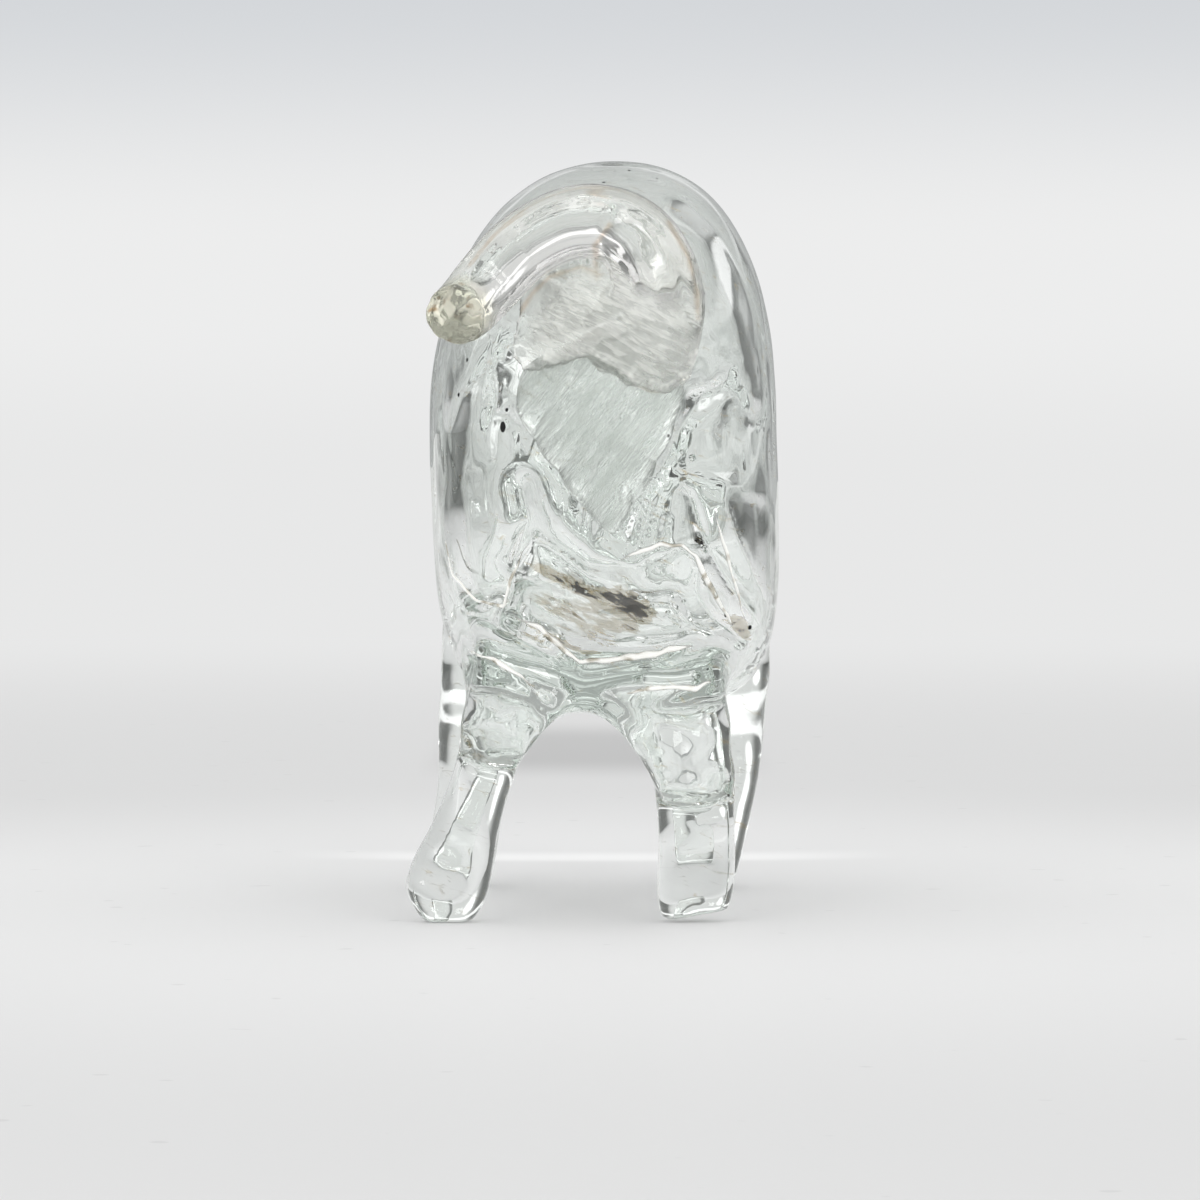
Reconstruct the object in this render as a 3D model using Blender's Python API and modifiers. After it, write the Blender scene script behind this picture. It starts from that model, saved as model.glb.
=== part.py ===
"""Blown glass pig figurine, in metres.

The pig stands on z = 0 with its back to -Y and its snout to +Y. Its torso is a hollow bubble. The head, snout,
ears, eyes, legs, rump seal and tail are separate bits of glass that were set on it while they were hot, and each
is shaped to the face that it sits on.
"""

import math

import bmesh
import bpy
from mathutils import Matrix, Vector

SEAM = 0.0003  # gap between two bits of glass along the face where they meet

# Where the torso's middle stands, so that the whole pig is centred on the frame's origin
STAND_X = 0.0008
STAND_Y = -0.0064

# Torso: one blown bubble, tall and narrow, with a flat belly
TORSO_LENGTH = 0.078
TORSO_WIDTH = 0.0376
TORSO_HEIGHT = 0.0590
BELLY_CLEARANCE = 0.0217
BACK_ROUNDNESS = 2.3  # superellipse exponents: 2 is an ellipse, and more is squarer
BELLY_ROUNDNESS = 4.6
END_ROUNDNESS = 2.6
BACK_LEAN = 0.0014  # how far the top of the back leans to the pig's right
BELLY_LEAN = 0.0009
SHOULDER_TAPER = 0.10  # share by which the bubble narrows at the head end
WALL = 0.0022
BELLY_WALL = 0.0056

# Rump seal: the dab of glass that closes the blow hole
SEAL_WIDTH = 0.0188
SEAL_ABOVE = 0.0080  # from its middle up to its top
SEAL_BELOW = 0.0144  # from its middle down to its tip
SEAL_SKEW = 0.0036  # how far the tip runs to the pig's right
SEAL_THICKNESS = 0.0036
SEAL_ROUNDNESS = 1.5  # below 2, so its outline is a soft diamond
SEAL_RISE = 0.0018  # above the middle of the torso
BLOW_HOLE_RADIUS = 0.0032
PLUG_REACH = 0.0046  # from the skin into the hole

# Tail: a tapered strand, stuck on above the seal and curled over to the pig's left
TAIL_PAD_WIDTH = 0.0160
TAIL_PAD_HEIGHT = 0.0122
TAIL_PAD_THICKNESS = 0.0042
TAIL_PAD_X = 0.0030
TAIL_ROOT_RADIUS = 0.0048
TAIL_BEND_RADIUS = 0.0040
TAIL_TIP_RADIUS = 0.0031
TAIL_ROOT_X = 0.0046
TAIL_ROOT_RISE = 0.0086  # above the middle of the torso
TAIL_CURL_RISE = 0.0204
TAIL_TIP_X = -0.0148
TAIL_TIP_RISE = 0.0116
TAIL_STANDOFF = 0.0072  # from the rump to the middle of the strand at the top of the curl
TAIL_TIP_TURN = 0.0060  # how much further from the rump the tip is

# Head: a solid cone of glass with a pressed disc for a snout
HEAD_DROP = 0.0020  # below the middle of the torso
HEAD_TILT = 8.0  # degrees, nose down
HEAD_ROOT_WIDTH = 0.0290
HEAD_BROW_WIDTH = 0.0280
HEAD_CHEEK_WIDTH = 0.0215
HEAD_MUZZLE_WIDTH = 0.0150
HEAD_HEIGHT_SHARE = 1.12  # height over width
HEAD_LENGTH = 0.0220  # from the front of the torso to the snout's seat
HEAD_ROOT_DEPTH = 0.0120  # from the front of the torso back to the end of the cone inside it
SNOUT_RADIUS = 0.0080
SNOUT_THICKNESS = 0.0038
SNOUT_EDGE = 0.0012
NOSTRIL_RADIUS = 0.0012
NOSTRIL_DEPTH = 0.0018
NOSTRIL_SPACING = 0.0058
EYE_RADIUS = 0.0017
EYE_PLACE = 0.0110  # from the snout's seat back to the eyes
EYE_ANGLE = 38.0  # degrees above the side of the head
EYE_SUNK = 0.0010

# Ears: pinched leaves
EAR_LENGTH = 0.0132
EAR_WIDTH = 0.0104
EAR_THICKNESS = 0.0034
EAR_BURIED = 0.0030
EAR_PLACE = 0.0165
EAR_ANGLE = 56.0
EAR_LEAN = 28.0  # degrees, tip forward
EAR_CUP = 0.0016

# Legs: drawn bits, flared where they join the belly and pinched flat below the thigh
HIND_LEG_SETBACK = 0.0130  # from the torso's end to the middle of its legs
FRONT_LEG_SETBACK = 0.0130
LEG_ROOT_HEIGHT = 0.0262
LEG_BURIED = 0.0160
THIGH_DEPTH = 0.0158
PINCH_STEP = 0.0014
SHANK_THICKNESS = 0.0050
KNEE_THICKNESS = 0.0088
FOOT_THICKNESS = 0.0058
SOLE_THICKNESS = 0.0046
FOOT_ROUNDNESS = 2.6

# Each leg's thigh, pinch and foot as height, place across the pig and width, and its sole as place and width
LEGS = {
    "leg_hind_left": {
        "y": HIND_LEG_SETBACK - TORSO_LENGTH / 2,
        "thigh": (0.0228, -0.0082, 0.0152),
        "pinch": (0.0180, -0.0116, 0.0068),
        "shank": (0.0110, -0.0140, 0.0068),
        "foot": (0.0052, -0.0163, 0.0098),
        "sole": (-0.0162, 0.0048),
    },
    "leg_hind_right": {
        "y": HIND_LEG_SETBACK - TORSO_LENGTH / 2,
        "thigh": (0.0228, 0.0070, 0.0148),
        "pinch": (0.0136, 0.0096, 0.0086),
        "shank": (0.0080, 0.0099, 0.0082),
        "foot": (0.0036, 0.0097, 0.0086),
        "sole": (0.0088, 0.0064),
    },
    "leg_front_left": {
        "y": TORSO_LENGTH / 2 - FRONT_LEG_SETBACK,
        "thigh": (0.0240, -0.0113, 0.0144),
        "pinch": (0.0160, -0.0144, 0.0086),
        "shank": (0.0100, -0.0150, 0.0078),
        "foot": (0.0044, -0.0160, 0.0084),
        "sole": (-0.0162, 0.0062),
    },
    "leg_front_right": {
        "y": TORSO_LENGTH / 2 - FRONT_LEG_SETBACK,
        "thigh": (0.0240, 0.0119, 0.0146),
        "pinch": (0.0150, 0.0140, 0.0086),
        "shank": (0.0094, 0.0134, 0.0078),
        "foot": (0.0040, 0.0120, 0.0080),
        "sole": (0.0118, 0.0062),
    },
}

# Glass: a tint is a colour and a roughness
GLASS_IOR = 1.5
GREEN_TINT = ((0.86, 0.93, 0.89), 0.03)
PINK_TINT = ((0.93, 0.89, 0.88), 0.05)
DARK_TINT = ((0.05, 0.03, 0.02), 0.05)

# Smoothness
TORSO_TURNS = 44
TORSO_STEPS = 28
CAVITY_TURNS = 32
CAVITY_STEPS = 20
PAD_TURNS = 28
PAD_STEPS = 14
ROD_SIDES = 12
ROUND_SIDES = 28
DEEP_ENOUGH = 0.0100  # how far a cutter runs past what it cuts
WELD = 0.00001

TORSO_Z = BELLY_CLEARANCE + TORSO_HEIGHT / 2
RUMP_Y = -TORSO_LENGTH / 2


def clear_scene():
    for obj in list(bpy.data.objects):
        bpy.data.objects.remove(obj)


def new_collection(name):
    collection = bpy.data.collections.new(name)
    bpy.context.scene.collection.children.link(collection)
    return collection


def glass(name, tint):
    """Clear glass. A tint is its colour and its roughness."""
    colour, roughness = tint
    material = bpy.data.materials.new(name)
    material.use_nodes = True
    surface = material.node_tree.nodes["Principled BSDF"]
    surface.inputs["Base Color"].default_value = (*colour, 1.0)
    surface.inputs["Roughness"].default_value = roughness
    surface.inputs["Metallic"].default_value = 0.0
    surface.inputs["Transmission Weight"].default_value = 1.0
    surface.inputs["IOR"].default_value = GLASS_IOR
    return material


def new_empty(name, location, parent=None):
    empty = bpy.data.objects.new(name, None)
    empty.location = location
    empty.parent = parent
    PIG.objects.link(empty)
    return empty


def add_piece(name, shape, tint, parent, location=(0, 0, 0)):
    """A piece of the pig, from a bmesh whose own origin stands at this place in its parent."""
    mesh = bpy.data.meshes.new(name)
    shape.to_mesh(mesh)
    shape.free()
    mesh.shade_smooth()
    mesh.materials.append(glass(f"{name}_glass", tint))
    obj = bpy.data.objects.new(name, mesh)
    obj.parent = parent
    obj.location = location
    PIG.objects.link(obj)
    return obj


def add_cutter(name, shape, parent, location=(0, 0, 0)):
    mesh = bpy.data.meshes.new(name)
    shape.to_mesh(mesh)
    shape.free()
    obj = bpy.data.objects.new(name, mesh)
    obj.parent = parent
    obj.location = location
    obj.hide_render = True
    obj.display_type = "WIRE"
    CUTTERS.objects.link(obj)
    return obj


def add_boolean(obj, other, operation="DIFFERENCE"):
    modifier = obj.modifiers.new(other.name, "BOOLEAN")
    modifier.operation = operation
    modifier.object = other


def add_smoothing(obj):
    modifier = obj.modifiers.new("smoothing", "SUBSURF")
    modifier.levels = 1
    modifier.render_levels = 1


def bent(value, roundness):
    """A sine or cosine, bent so that it draws a superellipse in place of a circle."""
    return math.copysign(abs(value) ** (2 / roundness), value)


def ball(turns, steps, radius=1.0):
    """A sphere with its poles on Y."""
    shape = bmesh.new()
    bmesh.ops.create_uvsphere(shape, u_segments=turns, v_segments=steps, radius=radius)
    bmesh.ops.rotate(shape, matrix=Matrix.Rotation(math.radians(90), 3, "X"), verts=shape.verts)
    return shape


def rod(radius, length, sides=ROUND_SIDES):
    """A plain cylinder along Y, about the origin."""
    shape = bmesh.new()
    bmesh.ops.create_cone(shape, cap_ends=True, segments=sides, radius1=radius, radius2=radius, depth=length)
    bmesh.ops.rotate(shape, matrix=Matrix.Rotation(math.radians(90), 3, "X"), verts=shape.verts)
    return shape


def grow(shape, gap=SEAM):
    """Moves a closed shape's skin out by the gap."""
    shape.normal_update()
    places = [vert.co + vert.normal * gap for vert in shape.verts]
    for vert, place in zip(shape.verts, places):
        vert.co = place
    return shape


def drawn(stations):
    """A closed rod along Z. Each station is its centre, its width, its depth and its roundness."""
    shape = bmesh.new()
    last = len(stations) - 1
    bmesh.ops.create_cone(shape, cap_ends=True, segments=ROD_SIDES, radius1=1, radius2=1, depth=last)
    bmesh.ops.translate(shape, vec=(0, 0, last / 2), verts=shape.verts)
    lengthwise = [edge for edge in shape.edges if abs(edge.verts[0].co.z - edge.verts[1].co.z) > last / 2]
    bmesh.ops.subdivide_edges(shape, edges=lengthwise, cuts=last - 1)
    for vert in shape.verts:
        centre, width, depth, roundness = stations[round(vert.co.z)]
        across = width / 2 * bent(vert.co.x, roundness)
        deep = depth / 2 * bent(vert.co.y, roundness)
        vert.co = Vector(centre) + Vector((across, deep, 0))
    bmesh.ops.recalc_face_normals(shape, faces=shape.faces)
    return shape


def lean_at(rise):
    """How far the torso leans to the pig's right at this height above its middle."""
    share = rise / (TORSO_HEIGHT / 2)
    return BACK_LEAN * share**2 if rise > 0 else -BELLY_LEAN * share


def bubble(turns, steps, inset=0.0, belly_inset=0.0):
    """The torso's shape about its own middle, shrunk by the insets."""
    shape = ball(turns, steps)
    for vert in shape.verts:
        along = max(-1.0, min(1.0, vert.co.y))
        turn = math.atan2(vert.co.z, vert.co.x)
        below = vert.co.z < 0
        roundness = BELLY_ROUNDNESS if below else BACK_ROUNDNESS
        size = bent(math.sqrt(1 - along * along), END_ROUNDNESS)
        size *= 1 - SHOULDER_TAPER * max(0.0, along) ** 2
        rise = (TORSO_HEIGHT / 2 - (belly_inset if below else inset)) * size * bent(math.sin(turn), roundness)
        across = (TORSO_WIDTH / 2 - inset) * size * bent(math.cos(turn), roundness)
        place = (TORSO_LENGTH / 2 - inset) * bent(along, END_ROUNDNESS)
        vert.co = Vector((across + lean_at(rise), place, rise))
    return shape


def rump_skin(across, rise):
    """Where the skin of the rump lies along Y, at this place across and above the torso's middle."""
    roundness = BELLY_ROUNDNESS if rise < 0 else BACK_ROUNDNESS
    wide = abs((across - lean_at(rise)) / (TORSO_WIDTH / 2)) ** roundness
    high = abs(rise / (TORSO_HEIGHT / 2)) ** roundness
    size = min(0.999, (wide + high) ** (1 / roundness))
    return RUMP_Y * (1 - size**END_ROUNDNESS) ** (1 / END_ROUNDNESS)


def pad(width, above, below, thickness, across, rise, roundness=2.0, skew=0.0):
    """A dab of glass on the rump, which reaches this far above and below its middle. Skew moves its lower tip."""
    shape = ball(PAD_TURNS, PAD_STEPS)
    for vert in shape.verts:
        deep = vert.co.y
        turn = math.atan2(vert.co.z, vert.co.x)
        ring = math.hypot(vert.co.x, vert.co.z)
        lift = ring * bent(math.sin(turn), roundness)
        x = across + width / 2 * ring * bent(math.cos(turn), roundness) + skew * max(0.0, -lift)
        z = rise + (above if lift > 0 else below) * lift
        vert.co = Vector((x, rump_skin(x, z) + thickness * deep, z))
    return shape


def make_torso():
    torso = add_piece("torso", bubble(TORSO_TURNS, TORSO_STEPS), GREEN_TINT, TORSO_AXIS)
    cavity = bubble(CAVITY_TURNS, CAVITY_STEPS, WALL, BELLY_WALL)
    add_boolean(torso, add_cutter("cutter_cavity", cavity, TORSO_AXIS))
    hole = rod(BLOW_HOLE_RADIUS, 2 * DEEP_ENOUGH)
    add_boolean(torso, add_cutter("cutter_blow_hole", hole, TORSO_AXIS, (0, RUMP_Y, SEAL_RISE)))


def seal_pad():
    return pad(SEAL_WIDTH, SEAL_ABOVE, SEAL_BELOW, SEAL_THICKNESS, 0, SEAL_RISE, SEAL_ROUNDNESS, SEAL_SKEW)


def make_rump_seal():
    seal = add_piece("rump_seal", seal_pad(), GREEN_TINT, TORSO_AXIS)
    add_boolean(seal, TORSO_CUTTER)
    plug_length = PLUG_REACH + SEAL_THICKNESS / 2
    plug = rod(BLOW_HOLE_RADIUS - SEAM, plug_length)
    place = (0, RUMP_Y + PLUG_REACH - plug_length / 2, SEAL_RISE)
    add_boolean(seal, add_cutter("cutter_plug", plug, TORSO_AXIS, place), "UNION")


def tail_points():
    """The strand's middle and its radius, from inside its pad to the cut tip."""
    root_y = rump_skin(TAIL_ROOT_X, TAIL_ROOT_RISE)
    curl_y = root_y - TAIL_STANDOFF
    curl_x = TAIL_ROOT_X - 0.25 * (TAIL_ROOT_X - TAIL_TIP_X)
    reach = curl_x - TAIL_TIP_X
    fall = TAIL_CURL_RISE - TAIL_TIP_RISE
    climb = TAIL_CURL_RISE - TAIL_ROOT_RISE
    return [
        (TAIL_ROOT_X, root_y + SEAL_THICKNESS / 2, TAIL_ROOT_RISE, TAIL_ROOT_RADIUS),
        (1.25 * TAIL_ROOT_X, root_y - 0.75 * TAIL_STANDOFF, TAIL_ROOT_RISE + 0.35 * climb, TAIL_ROOT_RADIUS),
        (curl_x + 0.1 * reach, curl_y, TAIL_CURL_RISE, TAIL_BEND_RADIUS),
        (curl_x - 0.40 * reach, curl_y, TAIL_CURL_RISE - 0.14 * fall, TAIL_BEND_RADIUS),
        (curl_x - 0.74 * reach, curl_y - 0.1 * TAIL_TIP_TURN, TAIL_CURL_RISE - 0.66 * fall, TAIL_BEND_RADIUS),
        (curl_x - 0.88 * reach, curl_y - 0.5 * TAIL_TIP_TURN, TAIL_CURL_RISE - 0.94 * fall, TAIL_TIP_RADIUS),
        (TAIL_TIP_X, curl_y - TAIL_TIP_TURN, TAIL_TIP_RISE, TAIL_TIP_RADIUS),
    ]


def shape_from_curve(curve):
    """The curve object's mesh with its caps welded on. The curve itself is removed."""
    bpy.context.view_layer.update()
    seen = curve.evaluated_get(bpy.context.evaluated_depsgraph_get())
    mesh = bpy.data.meshes.new_from_object(seen)
    shape = bmesh.new()
    shape.from_mesh(mesh)
    bmesh.ops.remove_doubles(shape, verts=shape.verts, dist=WELD)
    bmesh.ops.recalc_face_normals(shape, faces=shape.faces)
    bpy.data.objects.remove(curve)
    bpy.data.meshes.remove(mesh)
    return shape


def tail_curve(points):
    data = bpy.data.curves.new("tail_path", "CURVE")
    data.dimensions = "3D"
    data.resolution_u = 5
    data.bevel_depth = 1.0
    data.bevel_resolution = 3
    data.use_fill_caps = True
    spline = data.splines.new("NURBS")
    spline.points.add(len(points) - 1)
    spline.use_endpoint_u = True
    spline.order_u = 3
    for point, (x, y, z, radius) in zip(spline.points, points):
        point.co = (x, y, z, 1)
        point.radius = radius
    curve = bpy.data.objects.new("tail_path", data)
    PIG.objects.link(curve)
    return curve


def make_tail():
    strand = shape_from_curve(tail_curve(tail_points()))
    tail = add_piece("tail", strand, PINK_TINT, TORSO_AXIS)
    half = TAIL_PAD_HEIGHT / 2
    root = pad(TAIL_PAD_WIDTH, half, half, TAIL_PAD_THICKNESS, TAIL_PAD_X, TAIL_ROOT_RISE)
    add_boolean(tail, add_cutter("cutter_tail_pad", root, TORSO_AXIS), "UNION")
    add_boolean(tail, TORSO_CUTTER)
    add_boolean(tail, add_cutter("cutter_seal", grow(seal_pad()), TORSO_AXIS))


def head_stations():
    """Stations along the head's own axis, from inside the torso to just past the snout's seat."""
    widths = [
        (-HEAD_ROOT_DEPTH, 0.6 * HEAD_ROOT_WIDTH),
        (-HEAD_ROOT_DEPTH / 2, HEAD_ROOT_WIDTH),
        (0.2 * HEAD_LENGTH, HEAD_BROW_WIDTH),
        (0.55 * HEAD_LENGTH, HEAD_CHEEK_WIDTH),
        (0.85 * HEAD_LENGTH, HEAD_MUZZLE_WIDTH),
        (HEAD_LENGTH + SNOUT_THICKNESS / 2, 0.94 * HEAD_MUZZLE_WIDTH),
    ]
    return [((0, 0, place), width, width * HEAD_HEIGHT_SHARE, 2.0) for place, width in widths]


def head_shape():
    shape = drawn(head_stations())
    bmesh.ops.rotate(shape, matrix=Matrix.Rotation(math.radians(-90), 3, "X"), verts=shape.verts)
    return shape


def snout_shape():
    """A low round disc whose back face is at the origin and whose front face looks along Y."""
    shape = rod(SNOUT_RADIUS, SNOUT_THICKNESS)
    bmesh.ops.translate(shape, vec=(0, SNOUT_THICKNESS / 2, 0), verts=shape.verts)
    return shape


def make_head():
    head = add_piece("head", head_shape(), GREEN_TINT, HEAD_AXIS)
    add_smoothing(head)
    add_boolean(head, TORSO_CUTTER)
    add_boolean(head, add_cutter("cutter_snout", grow(snout_shape()), HEAD_AXIS, (0, HEAD_LENGTH, 0)))


def make_snout():
    snout = add_piece("snout", snout_shape(), GREEN_TINT, HEAD_AXIS, (0, HEAD_LENGTH, 0))
    bevel = snout.modifiers.new("edge", "BEVEL")
    bevel.width = SNOUT_EDGE
    bevel.segments = 3
    for side, label in ((-1, "left"), (1, "right")):
        nostril = rod(NOSTRIL_RADIUS, 2 * NOSTRIL_DEPTH, sides=16)
        place = (side * NOSTRIL_SPACING / 2, HEAD_LENGTH + SNOUT_THICKNESS, 0)
        add_boolean(snout, add_cutter(f"cutter_nostril_{label}", nostril, HEAD_AXIS, place))


def head_width_at(place):
    """The head's width at this place along its axis, between the stations beside it."""
    stations = [(centre[2], width) for centre, width, _, _ in head_stations()]
    for (low, low_width), (high, high_width) in zip(stations, stations[1:]):
        if place <= high:
            share = (place - low) / (high - low)
            return low_width + share * (high_width - low_width)
    return stations[-1][1]


def on_head(side, back, angle, sunk):
    """A point in the skin of the head, this far back from the snout's seat and this angle above its side."""
    radius = head_width_at(HEAD_LENGTH - back) / 2 - sunk
    turn = math.radians(angle)
    x = side * radius * math.cos(turn)
    return (x, HEAD_LENGTH - back, radius * HEAD_HEIGHT_SHARE * math.sin(turn))


def make_ears(head_cutter):
    for side, label in ((-1, "left"), (1, "right")):
        shape = bmesh.new()
        bmesh.ops.create_uvsphere(shape, u_segments=20, v_segments=14, radius=1.0)
        for vert in shape.verts:
            narrowing = 1 - 0.5 * max(0.0, vert.co.z) ** 2
            cup = EAR_CUP * (vert.co.x**2 - vert.co.z**2)
            x = EAR_WIDTH / 2 * vert.co.x * narrowing
            vert.co = Vector((x, EAR_THICKNESS / 2 * vert.co.y + cup, EAR_LENGTH / 2 * (vert.co.z + 1)))
        ear = add_piece(f"ear_{label}", shape, GREEN_TINT, HEAD_AXIS)
        ear.location = on_head(side, EAR_PLACE, EAR_ANGLE, EAR_BURIED)
        ear.rotation_euler = (math.radians(-EAR_LEAN), side * math.radians(90 - EAR_ANGLE), 0)
        add_boolean(ear, head_cutter)
        add_boolean(ear, TORSO_CUTTER)


def make_eyes(head_cutter):
    for side, label in ((-1, "left"), (1, "right")):
        shape = ball(16, 10, EYE_RADIUS)
        eye = add_piece(f"eye_{label}", shape, DARK_TINT, HEAD_AXIS)
        eye.location = on_head(side, EYE_PLACE, EYE_ANGLE, EYE_SUNK)
        add_boolean(eye, head_cutter)


def leg_stations(leg):
    """Stations from below the floor, which cuts the sole flat, up to the end inside the torso."""
    thigh_z, thigh_x, thigh_width = leg["thigh"]
    pinch_z, pinch_x, pinch_width = leg["pinch"]
    shank_z, shank_x, shank_width = leg["shank"]
    foot_z, foot_x, foot_width = leg["foot"]
    sole_x, sole_width = leg["sole"]
    knee_z = pinch_z + PINCH_STEP
    calf_z = (thigh_z + 2 * knee_z) / 3
    calf_x = (thigh_x + 2 * pinch_x) / 3
    top = LEG_ROOT_HEIGHT + LEG_BURIED
    return [
        ((sole_x, 0, -DEEP_ENOUGH / 4), sole_width, SOLE_THICKNESS, FOOT_ROUNDNESS),
        ((sole_x, 0, 0), sole_width, SOLE_THICKNESS, FOOT_ROUNDNESS),
        ((foot_x, 0, 0.35 * foot_z), 0.88 * foot_width, FOOT_THICKNESS, FOOT_ROUNDNESS),
        ((foot_x, 0, foot_z), foot_width, FOOT_THICKNESS, FOOT_ROUNDNESS),
        ((shank_x, 0, shank_z), shank_width, SHANK_THICKNESS, FOOT_ROUNDNESS),
        ((pinch_x, 0, pinch_z), pinch_width, SHANK_THICKNESS, FOOT_ROUNDNESS),
        ((pinch_x, 0, knee_z), 1.08 * pinch_width, KNEE_THICKNESS, 2.2),
        ((calf_x, 0, calf_z), (thigh_width + 2 * pinch_width) / 3, 0.72 * THIGH_DEPTH, 2.0),
        ((thigh_x, 0, thigh_z), thigh_width, 0.92 * THIGH_DEPTH, 2.0),
        ((thigh_x, 0, LEG_ROOT_HEIGHT), thigh_width, THIGH_DEPTH, 2.0),
        ((thigh_x, 0, (LEG_ROOT_HEIGHT + top) / 2), 0.97 * thigh_width, 0.86 * THIGH_DEPTH, 2.0),
        ((thigh_x, 0, top), 0.6 * thigh_width, 0.5 * THIGH_DEPTH, 2.0),
    ]


def make_legs():
    floor = bmesh.new()
    bmesh.ops.create_cube(floor, size=1.0)
    bmesh.ops.scale(floor, vec=(2 * TORSO_WIDTH, 2 * TORSO_LENGTH, DEEP_ENOUGH), verts=floor.verts)
    floor_cutter = add_cutter("cutter_floor", floor, STAND, (0, 0, -DEEP_ENOUGH / 2))
    for name, leg in LEGS.items():
        obj = add_piece(name, drawn(leg_stations(leg)), GREEN_TINT, STAND, (0, leg["y"], 0))
        add_smoothing(obj)
        add_boolean(obj, TORSO_CUTTER)
        add_boolean(obj, floor_cutter)


clear_scene()
PIG = new_collection("glass_pig")
CUTTERS = new_collection("cutters")
STAND = new_empty("stand", (STAND_X, STAND_Y, 0))
TORSO_AXIS = new_empty("torso_axis", (0, 0, TORSO_Z), STAND)
HEAD_AXIS = new_empty("head_axis", (0, TORSO_LENGTH / 2, TORSO_Z - HEAD_DROP), STAND)
HEAD_AXIS.rotation_euler = (math.radians(-HEAD_TILT), 0, 0)
TORSO_CUTTER = add_cutter("cutter_torso", grow(bubble(TORSO_TURNS, TORSO_STEPS)), TORSO_AXIS)

make_torso()
make_rump_seal()
make_tail()
make_head()
make_snout()
HEAD_CUTTER = add_cutter("cutter_head", grow(head_shape()), HEAD_AXIS)
add_smoothing(HEAD_CUTTER)
make_ears(HEAD_CUTTER)
make_eyes(HEAD_CUTTER)
make_legs()
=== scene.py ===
import itertools
import math

import bmesh
import bpy
from mathutils import Matrix, Vector, bvhtree, noise


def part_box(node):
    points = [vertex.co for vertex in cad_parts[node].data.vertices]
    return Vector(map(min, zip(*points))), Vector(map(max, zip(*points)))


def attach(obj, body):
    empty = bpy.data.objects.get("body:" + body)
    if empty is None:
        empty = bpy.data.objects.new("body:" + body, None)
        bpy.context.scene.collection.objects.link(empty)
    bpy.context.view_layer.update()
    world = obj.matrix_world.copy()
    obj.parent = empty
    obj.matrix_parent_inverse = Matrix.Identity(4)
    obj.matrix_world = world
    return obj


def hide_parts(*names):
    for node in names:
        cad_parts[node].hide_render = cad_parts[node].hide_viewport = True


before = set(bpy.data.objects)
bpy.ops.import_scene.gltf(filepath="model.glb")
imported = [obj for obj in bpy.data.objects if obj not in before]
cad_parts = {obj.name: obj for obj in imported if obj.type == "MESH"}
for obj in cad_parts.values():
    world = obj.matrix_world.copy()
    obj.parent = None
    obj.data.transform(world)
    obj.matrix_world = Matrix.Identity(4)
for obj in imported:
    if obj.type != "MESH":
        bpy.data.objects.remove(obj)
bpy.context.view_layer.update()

# Camera
# A long lens looks at the pig's rump from a little below the middle of its body, tipped down by about a
# degree. The pig stands just left of the middle of the picture.
picture_width_px = 1200
lens_px = 5736
horizon_above_middle_px = 127
camera_place = (0.00049, -0.6324, 0.047)
lens = bpy.data.cameras.new("camera")
lens.sensor_width = 36
lens.lens = lens.sensor_width * lens_px / picture_width_px
lens.clip_start = 0.01
camera = bpy.data.objects.new("camera", lens)
camera.location = camera_place
camera.rotation_euler = (math.pi / 2 - math.atan(horizon_above_middle_px / lens_px), 0, 0)
bpy.context.scene.collection.objects.link(camera)
bpy.context.scene.camera = camera
bpy.context.scene.view_settings.view_transform = "Standard"


# Room
# A pale studio with two soft boxes above the camera, one to each side. Glass shows what it bends into view,
# so dark cards stand around the room, out of the picture, and draw the dark bands in the glass.
class Wire:
    """A socket of a node tree. Sums and products of wires add the nodes that work them out."""

    def __init__(self, tree, socket=None):
        self.tree = tree
        self.socket = socket

    def node(self, kind, settings=None, sockets=None, output=0):
        """Adds a node with these settings, sets or links its sockets, and gives back one of its outputs."""
        made = self.tree.nodes.new(kind)
        for name, value in (settings or {}).items():
            setattr(made, name, value)
        for name, value in (sockets or {}).items():
            if isinstance(value, Wire):
                self.tree.links.new(value.socket, made.inputs[name])
            else:
                made.inputs[name].default_value = value
        return Wire(self.tree, made.outputs[output] if made.outputs else None)

    def maths(self, operation, *values):
        return self.node("ShaderNodeMath", {"operation": operation}, dict(enumerate(values)))

    def __add__(self, other):
        return self.maths("ADD", self, other)

    def __sub__(self, other):
        return self.maths("SUBTRACT", self, other)

    def __rsub__(self, other):
        return self.maths("SUBTRACT", other, self)

    def __mul__(self, other):
        return self.maths("MULTIPLY", self, other)

    __radd__ = __add__
    __rmul__ = __mul__

    def step(self, low, high):
        """Runs smoothly from 0 at the low value to 1 at the high one, which may be the smaller of the two."""
        sockets = {"Value": self, "From Min": low, "From Max": high}
        return self.node("ShaderNodeMapRange", {"interpolation_type": "SMOOTHSTEP"}, sockets)

    def mixed(self, low, high):
        """A colour between two others, by this wire from 0 to 1."""
        return self.node("ShaderNodeMix", {"data_type": "RGBA"}, {0: self, 6: low, 7: high}, output=2)


def grey(level):
    return (level, level, level, 1.0)


world = bpy.data.worlds.new("room")
world.use_nodes = True
world.node_tree.nodes.clear()
bpy.context.scene.world = world
room = Wire(world.node_tree)
direction = room.node("ShaderNodeTexCoord", output="Generated")


def card(looking, toward, half_angle, edge):
    """1 where a direction meets a round card, and 0 around it. Its edge is as soft as the angle given."""
    aim = Vector(toward).normalized()
    facing = looking.node("ShaderNodeVectorMath", {"operation": "DOT_PRODUCT"}, {0: looking, 1: aim}, "Value")
    return facing.step(math.cos(math.radians(half_angle + edge)), math.cos(math.radians(half_angle - edge)))


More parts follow.
